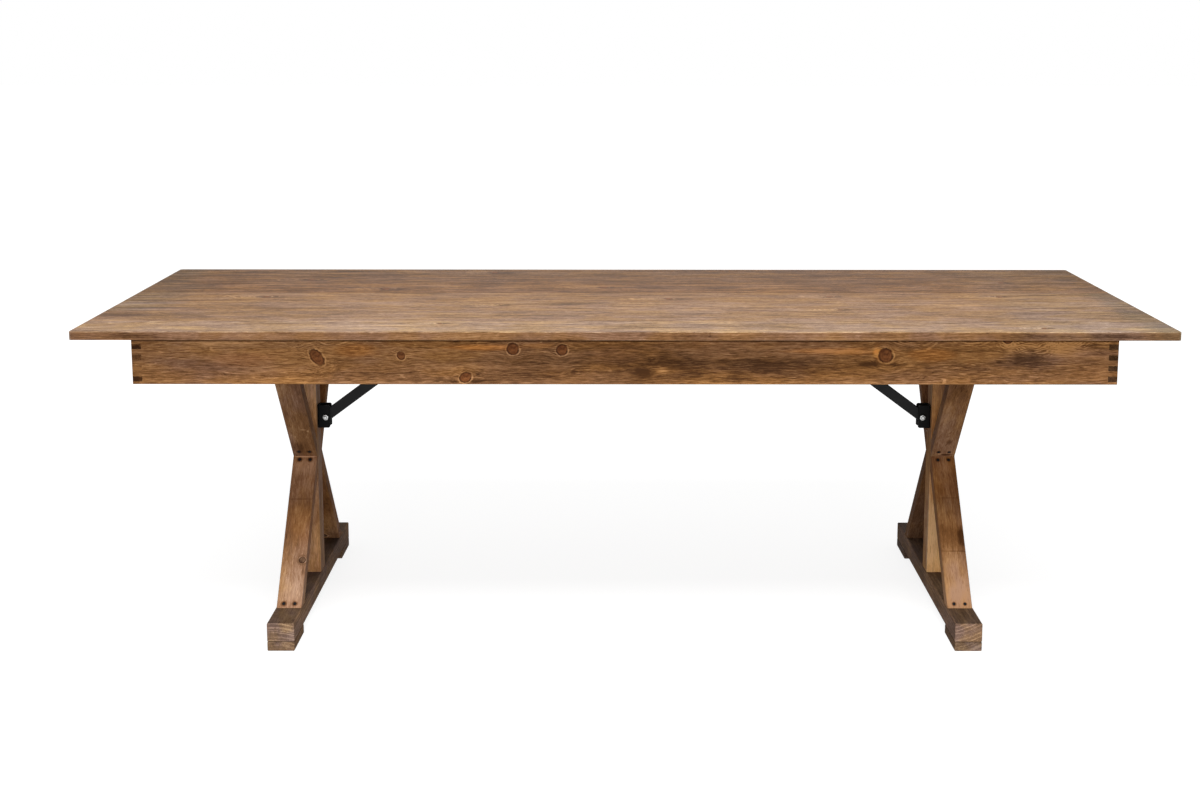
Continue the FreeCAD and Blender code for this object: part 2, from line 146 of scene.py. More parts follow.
def use_group(net, tree, **values):
    made = net.node("Group", node_tree=tree)
    for name, value in values.items():
        net.feed(made.inputs[name], value)
    return made.outputs


ORIGIN = (0, 0, 0)
ACROSS = (0.0, 1.0, 1.0)        # keeps what lies across the grain, which runs along X
KNOT_MASKS = ("Inside", "Rim", "Halo", "Heart")
KNOT_REACH = 1.9                # how many radii away a knot still pushes the grain
KNOT_LIGHT = (0.4, -0.5, -0.75)  # the side on which a knot and its halo are paler


def knot_group():
    """One knot: pushes the grain aside and gives the masks of its heart, rim and halo."""
    defaults = {"P": ORIGIN, "Centre": ORIGIN, "Axis": (0, 0, 1), "Radius": 0.01}
    net, given, out = group_tree("knot", {**defaults, **dict.fromkeys(KNOT_MASKS, 0.0)},
                                 ("P", *KNOT_MASKS))
    from_centre = net.vec("SUBTRACT", given["P"], given["Centre"])
    along = net.vec("DOT_PRODUCT", from_centre, given["Axis"])
    across = net.vec("SUBTRACT", from_centre, net.vec("SCALE", given["Axis"], scale=along))
    distance = net.vec("LENGTH", across)
    wobble = net.noise(from_centre, 120.0)
    ratio = net.sway(wobble, 0.55, net.math("DIVIDE", distance, given["Radius"]))

    spread = net.math("DIVIDE", distance, net.times(given["Radius"], KNOT_REACH))
    push = net.math("EXPONENT", net.times(net.times(spread, spread), -1.0))
    aside = net.vec("SCALE", net.vec("MULTIPLY", across, ACROSS), scale=net.times(push, 0.8))
    net.feed(out["P"], net.vec("SUBTRACT", given["P"], aside))

    inside = net.step(ratio, 1.04, 0.95)
    broken = net.step(net.noise(from_centre, 55.0, 1.0), 0.34, 0.6)
    rim = net.times(net.near(ratio, 1.0, 0.2), net.times_plus(broken, 0.7, 0.3))
    leaning = net.vec("DOT_PRODUCT", net.vec("NORMALIZE", across), KNOT_LIGHT)
    halo = net.times(net.near(ratio, 1.24, 0.2), net.times_plus(broken, 0.6, 0.4))
    halo = net.times(halo, net.times_plus(leaning, 0.5, 0.75, clamp=True))
    # the heart is paler towards one side and its rings are faint
    rings = net.times_plus(net.math("SINE", net.times(ratio, 21.0)), 0.1, 0.5)
    heart = net.times_plus(net.times(leaning, ratio), 0.3, rings)
    heart = net.sway(wobble, 2.2, heart)
    heart = net.times(net.math("ADD", heart, 0.0, clamp=True), inside)
    for key, mask in zip(KNOT_MASKS, (inside, rim, halo, heart)):
        net.feed(out[key], net.math("MAXIMUM", given[key], mask))
    return net.tree


def grain_group():
    """Growth rings about the X axis of P, with fibres, stain clouds, flecks and pores."""
    net, given, out = group_tree(
        "grain", {"P": ORIGIN, "Seed": ORIGIN, "Gap": 0.004, "Wander": 0.03, "Across": 140.0},
        ("Late", "Fibre", "Streak", "Cloud", "Fleck", "Pore", "Hue"))
    seeded = net.vec("ADD", given["P"], given["Seed"])

    def elsewhere(shift, place=seeded):
        """The same place in another part of the noise."""
        return net.vec("ADD", place, shift)

    # slow lean of the trunk, then ripples, then torn fibres
    wide = net.math("SUBTRACT", net.stretched(seeded, 0.9, 4.5, 1.0), 0.5)
    narrow = net.math("SUBTRACT", net.stretched(seeded, 5.0, 30.0), 0.5)
    tiny = net.math("SUBTRACT", net.stretched(seeded, 36.0, 260.0), 0.5)
    radius = net.vec("LENGTH", net.vec("MULTIPLY", given["P"], ACROSS))
    for bend, amount in ((wide, given["Wander"]), (narrow, 0.0044), (tiny, 0.0009)):
        radius = net.times_plus(bend, amount, radius)

    # late wood: a dark line towards the end of each year, stronger in some years
    uneven = net.noise(net.combine(net.times(radius, 75.0), 0.0, 0.0), 1.0, 1.0)
    years = net.times_plus(uneven, 2.2, net.math("DIVIDE", radius, given["Gap"]))
    part = net.math("FRACT", years)
    late = net.times(net.step(part, 0.45, 0.8), net.step(part, 1.0, 0.86))
    strength = net.noise(net.combine(net.times(radius, 60.0), 3.7, 0.0), 1.0, 1.0)
    net.feed(out["Late"], net.times(late, net.step(strength, 0.25, 0.7)))

    net.feed(out["Fibre"], net.stretched(seeded, 30.0, 520.0, 3.0, 0.75))
    drawn_out = net.vec("MULTIPLY", seeded, net.combine(3.4, given["Across"], given["Across"]))
    net.feed(out["Streak"], net.noise(drawn_out, 1.0, 4.0, 0.68))
    net.feed(out["Cloud"], net.stretched(seeded, 3.6, 13.0, 4.0, 0.6))
    net.feed(out["Hue"], net.stretched(elsewhere((5.3, 2.9, 7.7)), 3.6, 17.0, 3.0, 0.55))

    patch = net.step(net.stretched(elsewhere((1.3, 4.1, 2.2)), 5.0, 16.0), 0.42, 0.62)
    curl = net.times(narrow, 0.03)
    curled = elsewhere(net.combine(0.0, curl, curl))
    fleck = net.step(net.stretched(curled, 34.0, 420.0, 2.0, 0.6), 0.575, 0.69)
    fleck = net.times(fleck, net.times_plus(patch, 0.75, 0.25))
    net.feed(out["Fleck"], fleck)
    pores = net.stretched(elsewhere((3.1, 1.7, 5.3), curled), 20.0, 380.0, 2.0, 0.6)
    net.feed(out["Pore"], net.step(pores, 0.58, 0.7))
    return net.tree


KNOT = knot_group()
GRAIN = grain_group()


def srgb(*levels):
    """Linear colour of an 8-bit screen colour."""
    def linear(value):
        return value / 12.92 if value <= 0.04045 else ((value + 0.055) / 1.055) ** 2.4
    return (*(linear(level / 255.0) for level in levels), 1.0)


def tinted(tones, *factors):
    """Each tone times one factor, or times one factor each for red, green and blue."""
    factors = factors if len(factors) == 3 else factors * 3
    return [(*(min(1.0, part * factor) for part, factor in zip(tone, factors)), 1.0)
            for tone in tones]


def bare_material(name):
    """New material and the net of its emptied tree."""
    material = bpy.data.materials.new(name)
    material.use_nodes = True
    material.node_tree.nodes.clear()
    return material, Net(material.node_tree)


def principled(name, gloss):
    """New material with only a Principled BSDF; gloss is its specular level."""
    material, net = bare_material(name)
    shader = net.node("BsdfPrincipled")
    shader.inputs["Specular IOR Level"].default_value = gloss
    net.feed(net.node("OutputMaterial").inputs["Surface"], shader.outputs[0])
    return material, net, shader


def worn_and_highlit_edges(net, radius, low, high, patches):
    """Normal that rounds the arrises, and a mask of them where they are worn; on wood the same mask
    also paints a highlight along them.
    """
    rounded = net.filled("Bevel", {"Radius": radius}, samples=4)
    flat = net.node("NewGeometry").outputs["Normal"]
    turned = net.math("SUBTRACT", 1.0, net.vec("DOT_PRODUCT", rounded, flat))
    return rounded, net.times(net.step(turned, low, high), patches)


def add_bump(net, shader, height, normal, strength, distance):
    bump = net.filled("Bump", {"Strength": strength, "Distance": distance, "Height": height,
                               "Normal": normal})
    net.feed(shader.inputs["Normal"], bump)


KNOT_RIM = srgb(47, 25, 14)
RED_KNOT = (srgb(76, 38, 18), srgb(150, 92, 52))
GREY_KNOT = (srgb(62, 44, 33), srgb(132, 100, 76))
WARM_HUE, COLD_HUE = (1.07, 0.98, 0.8, 1.0), (0.98, 0.95, 1.05, 1.0)
ARRIS = 0.002


def wood(name, along, pith, seed, tones, knots=(), spots=(), curls=(), glows=(), joint_and_shade_bands=(),
         gap=0.0028, fine=170.0, wander=0.03, rings=0.35, cloud=1.5, streak=1.3, fibre=1.5,
         flecks=0.4, pores=0.3, end_tone=(0.5, 0.47, 0.45), end_rings=0.5, side=None, rub_and_highlight=0.45,
         shorten=1.0, roughness=0.6, gloss=0.1, heart=RED_KNOT):
    """Stained and brushed pine cut from a log whose pith runs along `along` through `pith`.

    tones is (dark, middle, light); heart is the (dark, light) colour inside a knot.
    knots are (point, axis, radius) in the table's frame.
    spots are (point, radii, amount) of stain that took lighter (+) or darker (-).
    curls are (point, radii) of fans of fine bright lines where the grain rises.
    glows are (point, radii, colour factor) of warmer or colder patches.
    seams are (direction, low, high, softness, colour factor) of straight bands: dark joints, and
    painted shade where one part shades another.
    gap is the width of a year, and wander how far the trunk leans.  rings, cloud, streak, fibre,
    flecks and pores are the strengths of the figures; fine is how many streaks there are to a
    metre, and shorten makes every figure that many times shorter.
    end_tone and end_rings are the colour factor and the ring strength of end grain.
    side is (direction, colour factor, calm) for the faces that look along that direction; calm
    is how much of their figure is taken out.  rub is how far the arrises show the light tone.
    """
    material, net, shader = principled(name, gloss)
    place = net.node("TexCoord").outputs
    position = place["Object"]

    # the table's frame turned so that the grain runs along X
    along = Vector(along).normalized()
    across = along.orthogonal().normalized()
    turn = Matrix((along, across, along.cross(across)))
    local = net.combine(*[net.vec("DOT_PRODUCT", position, tuple(row)) for row in turn])
    local = net.vec("SUBTRACT", local, tuple(turn @ Vector(pith)))
    masks = dict.fromkeys(KNOT_MASKS, 0.0)
    for point, axis, radius in knots:
        made = use_group(net, KNOT, P=local, Centre=tuple(turn @ (Vector(point) - Vector(pith))),
                         Axis=tuple((turn @ Vector(axis)).normalized()), Radius=radius, **masks)
        local = made["P"]
        masks = {key: made[key] for key in masks}
    draw = random.Random(seed)
    offset = tuple(draw.uniform(0.0, 6.0) for _ in range(3))
    local = net.vec("MULTIPLY", local, (shorten, 1.0, 1.0))
    grain = use_group(net, GRAIN, P=local, Seed=offset, Gap=gap, Wander=wander, Across=fine)

    def facing(direction):
        """1 on the faces that look along a direction, either way."""
        turned = net.math("ABSOLUTE", net.vec("DOT_PRODUCT", place["Normal"], direction))
        return net.step(turned, 0.8, 0.97)

    def plus(amount, figure, base):
        return net.times_plus(figure, amount, base)

    # tone: 0 dark, 0.5 middle, 1 light
    on_end = facing(tuple(along))
    ring_share = plus(end_rings - rings, on_end, rings)
    tone = plus(ring_share, net.math("SUBTRACT", grain["Late"], 0.3), 0.5)
    for key, amount in (("Cloud", cloud), ("Streak", streak), ("Fibre", fibre)):
        tone = net.sway(grain[key], amount, tone)
    tone = plus(flecks, grain["Fleck"], tone)
    tone = plus(-pores, grain["Pore"], tone)
    tone = plus(0.75, masks["Halo"], tone)
    if side:
        on_side = facing(side[0])
        if side[2]:
            tone = plus(net.math("SUBTRACT", 0.5, tone), net.times(on_side, side[2]), tone)
    for point, radii, amount in spots:
        reach = net.sway(grain["Cloud"], 1.2, net.away(position, point, radii))
        tone = plus(amount, net.step(reach, 1.0, 0.0), tone)
    for point, radii in curls:
        reach = net.sway(grain["Cloud"], 1.3, net.away(position, point, radii))
        reach = net.sway(grain["Hue"], 0.8, reach)
        lines = net.math("SINE", net.times(reach, 1150.0 * radii[2]))
        lines = net.times(net.step(lines, -0.4, 0.7), net.step(grain["Fibre"], 0.36, 0.56))
        tone = plus(0.9, net.times(lines, net.step(reach, 1.05, 0.6)), tone)
    tone = net.math("ADD", tone, 0.0, clamp=True)

    # colour: the tones, their hue, the patches, the knots and the faces that differ
    color = net.mix(net.times(tone, 2.0, clamp=True), tones[0], tones[1])
    color = net.mix(net.times_plus(tone, 2.0, -1.0, clamp=True), color, tones[2])
    hue = net.mix(net.step(grain["Hue"], 0.38, 0.62), WARM_HUE, COLD_HUE)
    color = net.mix(1.0, color, hue, "MULTIPLY")
    for point, radii, factor in glows:
        reach = net.sway(grain["Cloud"], 1.0, net.away(position, point, radii))
        reach = net.sway(grain["Streak"], 0.9, reach)
        color = net.tint(net.step(reach, 1.0, 0.35), color, factor)
    if knots:
        core = net.mix(masks["Heart"], *heart)
        color = net.mix(net.times(masks["Inside"], 0.92), color, core)
        color = net.mix(net.times(masks["Rim"], 0.9), color, KNOT_RIM)
    color = net.tint(on_end, color, end_tone)
    # faces along side[0] take its colour factor: painted shade on the sideways faces of the arms,
    # rails and posts, and on the top's front edge
    if side:
        color = net.tint(on_side, color, side[1])
    # straight bands: dark joints, and painted shade where one part shades another
    for direction, low, high, soft, factor in joint_and_shade_bands:
        level = net.vec("DOT_PRODUCT", position, direction)
        rise = net.step(level, low - soft, low + soft)
        band = net.times(rise, net.step(level, high + soft, high - soft))
        color = net.tint(band, color, factor)
    # the arrises turn towards the light tone: partly wear through the stain, partly a painted
    # highlight along the edge
    normal, wear_and_highlight = worn_and_highlit_edges(net, ARRIS, 0.01, 0.12, net.step(grain["Streak"], 0.35, 0.6))
    color = net.mix(net.times(wear_and_highlight, rub_and_highlight), color, tones[2])
    net.feed(shader.inputs["Base Color"], color)

    rough = plus(0.18, grain["Fibre"], roughness - 0.09)
    net.feed(shader.inputs["Roughness"], plus(-0.06, grain["Late"], rough))
    height = plus(0.35, grain["Late"], net.times(grain["Fibre"], 0.9))
    height = plus(0.6, grain["Streak"], height)
    height = plus(-0.35, grain["Pore"], height)
    height = plus(-0.6, masks["Rim"], height)
    add_bump(net, shader, height, normal, 0.6, 0.0005)
    return material


def metal(name, base, metallic, roughness, speckle, bump_size, bump_depth, worn, wear, gloss=0.5):
    """Painted or plated steel with a fine grain of its own and worn edges."""
    material, net, shader = principled(name, gloss)
    position = net.node("TexCoord").outputs["Object"]
    fine = net.noise(position, bump_size, 3.0, 0.6)
    cloud = net.noise(position, 45.0, 3.0, 0.6)
    (low,), (high,) = tinted([base], 1.0 - speckle), tinted([base], 1.0 + speckle)
    color = net.mix(net.step(cloud, 0.3, 0.7), low, high)
    normal, wear_and_highlight = worn_and_highlit_edges(net, 0.0009, 0.02, 0.2, net.step(fine, 0.42, 0.62))
    color = net.mix(net.times(wear_and_highlight, wear), color, worn)
    net.feed(shader.inputs["Base Color"], color)
    shader.inputs["Metallic"].default_value = metallic
    net.feed(shader.inputs["Roughness"], net.times_plus(cloud, 0.25, roughness - 0.12))
    add_bump(net, shader, fine, normal, 0.35, bump_depth)
    return material


def paint(node, material):
    """Put one material on every slot of a CAD node."""
    part = NODES[node]
    if not part.material_slots:
        part.data.materials.append(material)
    for slot in part.material_slots:
        slot.material = material


# --- wood colours
TOP_TONES = (srgb(92, 64, 42), srgb(150, 112, 78), srgb(196, 156, 116))
APRON_TONES = (srgb(78, 50, 27), srgb(142, 101, 62), srgb(198, 150, 102))
LEG_TONES = (srgb(88, 56, 32), srgb(146, 104, 68), srgb(204, 160, 118))
INNER_TONES = (srgb(92, 66, 46), srgb(146, 112, 82), srgb(190, 152, 114))
FOOT_TONES = (srgb(62, 46, 36), srgb(108, 84, 66), srgb(160, 130, 102))


def random_knots(draw, low, high, axis, count, radii):
    """Knots through a board at drawn places between the corners low and high."""
    made = []
    for _ in range(count):
        point = [draw.uniform(a, b) for a, b in zip(low, high)]
        lean = Vector(axis) + Vector([draw.uniform(-0.35, 0.35) for _ in range(3)])
        made.append((point, lean.normalized(), draw.uniform(*radii)))
    return made


# --- the top
TOP_LEVEL, BOARD_MIDDLE = 0.762, 0.752
FRONT_EDGE = -0.508
TOP_END = 1.219
# (x, y, radius) of the knots of each board
TOP_KNOTS = {
    1: [(0.925, -0.46, 0.006), (-0.42, -0.4, 0.005)],
    3: [(0.505, -0.2, 0.006), (-0.3, -0.13, 0.005)],
    4: [(-0.887, -0.002, 0.011), (0.105, -0.03, 0.01), (0.504, 0.005, 0.009),
        (0.925, 0.007, 0.008)],
    5: [(-0.609, 0.135, 0.012), (-0.055, 0.165, 0.012)],
    6: [(0.982, 0.251, 0.008), (-0.827, 0.297, 0.01)],
    7: [(-0.353, 0.44, 0.01)],
}
# each board took the stain its own way, and painted light lies over it, falling off from front to
# back: the front ones greyer and paler, the back ones browner and darker
BOARD_STAINS_AND_LIGHT = {1: (1.21, 1.44, 1.75), 2: (1.06, 1.18, 1.34), 3: (1.1, 1.2, 1.31),
                4: (0.99, 1.02, 0.99), 5: (0.73, 0.67, 0.57), 6: (0.63, 0.58, 0.5),
                7: (0.64, 0.61, 0.53)}
# (x, y, length, width, amount) of single marks on the boards
TOP_MARKS = {
    1: [(0.1, -0.43, 0.5, 0.05, -0.1), (-0.7, -0.43, 0.5, 0.06, 0.1)],
    2: [(-0.98, -0.29, 0.42, 0.12, -0.13), (-0.043, -0.243, 0.03, 0.004, -1.2),
        (-0.081, -0.284, 0.02, 0.003, 0.9)],
    3: [(-1.0, -0.15, 0.3, 0.09, -0.12), (0.25, -0.14, 0.25, 0.03, 0.12)],
    4: [(-0.89, 0.047, 0.14, 0.004, 0.6), (0.103, -0.033, 0.035, 0.005, -1.3)],
    6: [(0.355, 0.253, 0.03, 0.01, -0.5), (1.0, 0.29, 0.3, 0.06, 0.2)],
}
# (x, length, amount) of marks on the front edge
EDGE_MARKS = ((-1.08, 0.09, -0.45), (0.14, 0.13, -0.34), (1.06, 0.2, -0.5), (0.58, 0.12, -0.15),
              (0.86, 0.12, -0.22), (-0.36, 0.14, 0.1), (-0.85, 0.2, 0.1))


def on_top(x, y, length, width, *what):
    """One mark on the top's face as wood() takes it."""
    return ((x, y, TOP_LEVEL), (length, width, 0.02), *what)


def dress_top():
    for number in range(1, 8):
        node = "top_board_%d" % number
        low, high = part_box(node)
        draw = random.Random(400 + number)
        middle = (low.y + high.y) / 2
        pith = (0.0, middle + draw.choice((-1, 1)) * draw.uniform(0.03, 0.16),
                BOARD_MIDDLE - draw.uniform(0.04, 0.12))
        seen = TOP_KNOTS.get(number, ())
        knots = [((x, y, 0.75), (0.25, 0.15, 1.0), radius) for x, y, radius in seen]
        spots = [on_top(*mark) for mark in TOP_MARKS.get(number, ())]
        for _ in range(6):
            spots.append(on_top(draw.uniform(-1.2, 1.2), draw.uniform(low.y, high.y),
                                draw.uniform(0.05, 0.2), draw.uniform(0.008, 0.025),
                                draw.choice((-0.28, 0.2))))
        spots += [on_top(x + 0.01, y, radius * 5.0, radius * 2.6, -0.75) for x, y, radius in seen]
        curls = [on_top(x - 0.03, y + 0.004, radius * 8.0, radius * 2.6) for x, y, radius in seen]
        foremost, front, middle_ones = number == 1, number < 5, 2 < number < 6
        if foremost:
            spots += [((x, FRONT_EDGE, BOARD_MIDDLE), (length, 0.03, 0.011), amount)
                      for x, length, amount in EDGE_MARKS]
        # both ends are darker and greyer
        glows = [((TOP_END, middle, TOP_LEVEL), (0.095, 0.3, 0.1),
                  (0.72, 0.8, 0.9) if front else (0.9, 0.95, 1.0)),
                 ((1.05, middle, TOP_LEVEL), (0.24, 0.3, 0.1), (0.99, 1.07, 1.2))]
        if number > 2:
            glows.append(((-TOP_END, middle, TOP_LEVEL), (0.2 if middle_ones else 0.13, 0.3, 0.1),
                          (0.75, 0.84, 1.0) if middle_ones else (0.83, 0.93, 1.02)))
        figure = (dict(cloud=0.6, streak=1.35, fibre=2.1) if front
                  else dict(cloud=0.95, streak=2.2, fibre=2.8))
        # the faces that look forward and back are darker; on the front board that is stain soaked
        # in deeper together with painted shade
        edge = ((0.64, 0.53, 0.45), 0.4) if foremost else ((0.95, 0.92, 0.88), 0.0)
        along = (1.0, draw.uniform(-0.01, 0.01), draw.uniform(-0.02, 0.02))
        tones = tinted(TOP_TONES, *BOARD_STAINS_AND_LIGHT[number])
        paint(node, wood(
            "wood_" + node, along, pith, 500 + number, tones, knots, spots, curls, glows,
            gap=0.0034, wander=0.05, rings=0.34, fine=60.0, shorten=2.2, gloss=0.04,
            rub_and_highlight=0.35 if foremost else 0.15, end_tone=(0.72, 0.68, 0.62),
            side=((0, 1, 0), *edge), **figure))


# --- the aprons
APRON_FACE = -0.4527            # y of the front apron's face
# (x, z), axis and radius of the knots in the front apron
APRON_KNOTS = (
    (-0.686, 0.695, (0.5, 0.59, -0.63), 0.012), (-0.499, 0.699, (0.35, 0.9, -0.3), 0.0082),
    (-0.25, 0.714, (0.12, 1.0, -0.25), 0.0125), (-0.141, 0.712, (-0.12, 1.0, -0.15), 0.0118),
    (-0.356, 0.6495, (0.7, 1.0, 0.35), 0.0105), (0.579, 0.7, (0.2, 1.0, -0.25), 0.015),
    (0.85, 0.738, (0.1, 1.0, 0.1), 0.011))
# (x, z, length, height, amount) of its lighter and darker stain, and of painted shade under the top
APRON_STAINS_AND_SHADE = (
    # dark clouds
    (0.89, 0.692, 0.078, 0.032, -0.38), (0.4, 0.684, 0.19, 0.02, -0.36),
    (0.545, 0.68, 0.045, 0.012, -0.6), (0.607, 0.677, 0.025, 0.007, -0.5),
    (0.12, 0.686, 0.12, 0.028, -0.22), (0.04, 0.662, 0.042, 0.017, -0.68),
    (-0.98, 0.672, 0.1, 0.025, -0.1), (-0.63, 0.688, 0.035, 0.022, -0.15),
    (-0.335, 0.642, 0.03, 0.01, -0.5), (-0.385, 0.64, 0.03, 0.01, -0.4),
    (0.24, 0.665, 0.18, 0.02, -0.25), (-0.1, 0.69, 0.06, 0.03, -0.1),
    (0.64, 0.725, 0.05, 0.02, -0.15), (0.29, 0.675, 0.38, 0.028, -0.28),
    (0.0, 0.68, 0.45, 0.08, -0.11), (1.03, 0.722, 0.05, 0.012, -0.4),
    # golden tails beside the knots, light clouds and the lighter strip along the bottom
    (-0.315, 0.717, 0.095, 0.008, 0.35), (-0.2, 0.722, 0.045, 0.008, 0.3),
    (0.47, 0.709, 0.14, 0.011, 0.5), (0.559, 0.707, 0.01, 0.017, 0.6),
    (0.083, 0.665, 0.024, 0.01, 0.6), (0.986, 0.712, 0.07, 0.03, 0.34),
    (0.857, 0.71, 0.018, 0.035, 0.32), (0.17, 0.73, 0.11, 0.008, 0.25),
    (-0.9, 0.727, 0.1, 0.01, 0.3), (-0.77, 0.735, 0.1, 0.006, 0.3),
    (0.5, 0.636, 0.75, 0.009, 0.18), (-0.6, 0.636, 0.6, 0.008, 0.1),
    (0.86, 0.66, 0.05, 0.02, 0.12), (-0.9, 0.69, 0.45, 0.12, 0.2),
    (-0.5, 0.69, 0.3, 0.1, 0.12),
    # painted shade under the top, then the lower and the middle band
    *((x, 0.745, 0.3, 0.006, -0.5) for x in (-1.0, -0.6, -0.2, 0.2, 0.6, 1.0)),
    *((x, 0.656, 0.3, 0.028, amount) for x, amount in (
        (-0.95, -0.16), (-0.6, -0.19), (-0.3, -0.16), (0.05, -0.1), (0.45, -0.16),
        (0.85, -0.14))),
    *((x, 0.697, 0.16, 0.018, amount) for x, amount in (
        (-0.08, 0.12), (0.62, 0.12), (0.78, 0.16), (1.02, 0.26))),
    (0.46, 0.683, 0.2, 0.012, 0.2), (0.25, 0.645, 0.07, 0.014, -0.35))
# (x, z, length, height, colour factor) of its warmer and colder patches
APRON_GLOWS = (
    (0.46, 0.709, 0.15, 0.012, (1.18, 1.02, 0.76)),
    (0.56, 0.707, 0.014, 0.02, (1.12, 1.02, 0.78)),
    (-0.31, 0.717, 0.1, 0.009, (1.22, 1.03, 0.76)),
    (-0.195, 0.721, 0.05, 0.007, (1.12, 1.03, 0.84)),
    (-1.0, 0.66, 0.16, 0.05, (0.9, 0.92, 1.08)), (-0.8, 0.68, 0.3, 0.06, (0.97, 0.98, 1.06)),
    (0.68, 0.7, 0.06, 0.02, (1.15, 1.02, 0.82)), (-0.6, 0.71, 0.06, 0.02, (1.12, 1.0, 0.84)),
    (-0.85, 0.69, 0.1, 0.02, (1.05, 0.96, 0.84)),
    (0.575, 0.69, 0.03, 0.012, (0.7, 0.62, 0.56)),
    (-0.02, 0.7, 0.08, 0.03, (0.92, 0.9, 0.95)), (0.9, 0.69, 0.09, 0.035, (0.9, 0.95, 1.22)),
    (1.05, 0.68, 0.1, 0.06, (0.92, 0.93, 1.12)),
    (-0.85, 0.728, 0.28, 0.022, (1.04, 1.12, 1.36)))
# (x, z, length, height) of the fans of rising grain along its upper edge
APRON_CURLS = (
    (0.905, 0.756, 0.085, 0.062), (0.99, 0.758, 0.065, 0.056), (0.846, 0.752, 0.034, 0.03),
    (0.77, 0.754, 0.06, 0.034), (0.655, 0.756, 0.07, 0.04), (1.05, 0.752, 0.04, 0.034),
    (0.44, 0.752, 0.08, 0.026), (-0.645, 0.752, 0.055, 0.03), (-0.83, 0.755, 0.09, 0.03))
# (z, amount) of the four fingers of the left apron in the front: each took the stain its own way
FINGER_STAINS = ((0.715, -0.7), (0.691, 0.1), (0.6675, 1.2), (0.644, -1.0))
# painted shade: a dark line in the corner between the apron and the top, where the overhang shades
# it
APRON_SHADE_BAND = ((0, 0, 1), 0.7302, 0.75, 0.0011, (0.3, 0.27, 0.24))
# node, direction of its grain, pith, seed, knots and end grain
OTHER_APRONS = (
    ("back_apron", (1, 0, 0.01), (0, 0.4, 0.5), 612, 7, (0.27, 0.27, 0.3)),
    ("left_apron", (0, 1, 0.01), (-0.98, 0, 0.52), 613, 3, (0.55, 0.51, 0.5)),
    ("right_apron", (0, 1, -0.01), (0.99, 0, 0.48), 614, 3, (0.27, 0.27, 0.3)))


def on_apron(x, z, length, height, *what):
    """One mark on the front apron's face as wood() takes it."""
    return ((x, APRON_FACE, z), (length, 0.1, height), *what)


def dress_aprons():
    knots = [((x, APRON_FACE, z), axis, radius) for x, z, axis, radius in APRON_KNOTS]
    spots, curls, glows = [[on_apron(*mark) for mark in marks]
                           for marks in (APRON_STAINS_AND_SHADE, APRON_CURLS, APRON_GLOWS)]
    shared = dict(wander=0.04, roughness=0.65, gloss=0.06)
    paint("front_apron", wood(
        "wood_front_apron", (1, 0.0, 0.01), (0, -0.4, 0.46), 611, APRON_TONES, knots, spots,
        curls, glows, [APRON_SHADE_BAND], gap=0.0024, rings=0.26, cloud=0.42, streak=0.8, fibre=2.2,
        flecks=0.42, fine=190.0, shorten=1.3, end_tone=(0.35, 0.34, 0.36), **shared))
    for node, along, pith, seed, count, end_tone in OTHER_APRONS:
        low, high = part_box(node)
        draw = random.Random(seed)
        run, axis = Vector((1, 0, 0)), Vector((0, 1, 0))
        if node != "back_apron":
            run, axis = axis, run
        spots = []
        knots = random_knots(draw, low, high, axis, count, (0.006, 0.014))
        for point, _, radius in knots:
            push = run * radius * draw.uniform(5, 9)
            radii = push + axis * 0.1 + Vector((0, 0, radius * 0.8))
            spots.append((Vector(point) - push, radii, 0.4))
            spots.append((Vector(point) + push * 0.6, radii, -0.35))
        if node == "left_apron":
            spots += [((-1.0975, APRON_FACE, level), (0.05, 0.02, 0.01), amount)
                      for level, amount in FINGER_STAINS]
        paint(node, wood(
            "wood_" + node, along, pith, seed, APRON_TONES, knots, spots, gap=0.0025, rings=0.32,
            cloud=1.2, streak=1.2, fibre=1.7, shorten=1.1, end_tone=end_tone, **shared))


# --- the trestles
ARMS = ("arm_front_upper", "arm_front_lower", "arm_back_upper", "arm_back_lower")
FEET = ("foot_bar", "foot_pads")
INNER = ("top_rail", "hinge_cleat")
ARM_MIDDLE = 0.793              # distance of the arms and the posts from the table's middle
ARM_SCREW_SPREAD = 0.013
ELBOW_REACH, ELBOW_LEVEL = 0.0373, 0.3676
UPPER_REACH, LOWER_REACH = 0.3052, 0.3137
ARM_SLANT = 0.037               # what the slanting ends add to the width of an arm's box


def arm_screw_places(node):
    """Points and outward normals of the four screws on an arm: two near each end."""
    low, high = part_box(node)
    back = 1 if "_back_" in node else -1
    upper = node.endswith("upper")
    reach, level, shares = ((UPPER_REACH, high.z, (0.048, 0.955)) if upper
                            else (LOWER_REACH, low.z, (0.025, 0.972)))
    elbow, tip = Vector((0, back * ELBOW_REACH, ELBOW_LEVEL)), Vector((0, back * reach, level))
    run = tip - elbow
    normal = Vector((0, back * abs(run.z), -abs(run.y) if upper else abs(run.y))).normalized()
    middle = ARM_MIDDLE if node.startswith("right") else -ARM_MIDDLE
    spots = [elbow.lerp(tip, share) for share in shares]
    return [(Vector((middle + spread, spot.y, spot.z)), normal) for spot in spots
            for spread in (-ARM_SCREW_SPREAD, ARM_SCREW_SPREAD)]


# The tables hold a value for the left trestle and one for the right.
PLAIN, NOTHING = ((1.0,), (1.0,)), ((), ())
# colour factors: stain that differs by piece, and painted light on the posts
PIECE_STAINS_AND_LIGHT = {
    "arm_front_upper": ((0.82, 0.88, 1.05), (0.85, 0.88, 0.94)),
    "arm_front_lower": ((1.04, 1.04, 1.08), (0.72, 0.69, 0.66)),
    "arm_back_lower": ((1.0,), (0.55, 0.56, 0.58)),
    # painted light: the posts are made paler all over, as if lit under the table
    "center_post": ((1.5, 1.58, 1.75), (1.9, 1.78, 1.52)),
    "foot_pads": ((1.0,), (0.72,)),
}
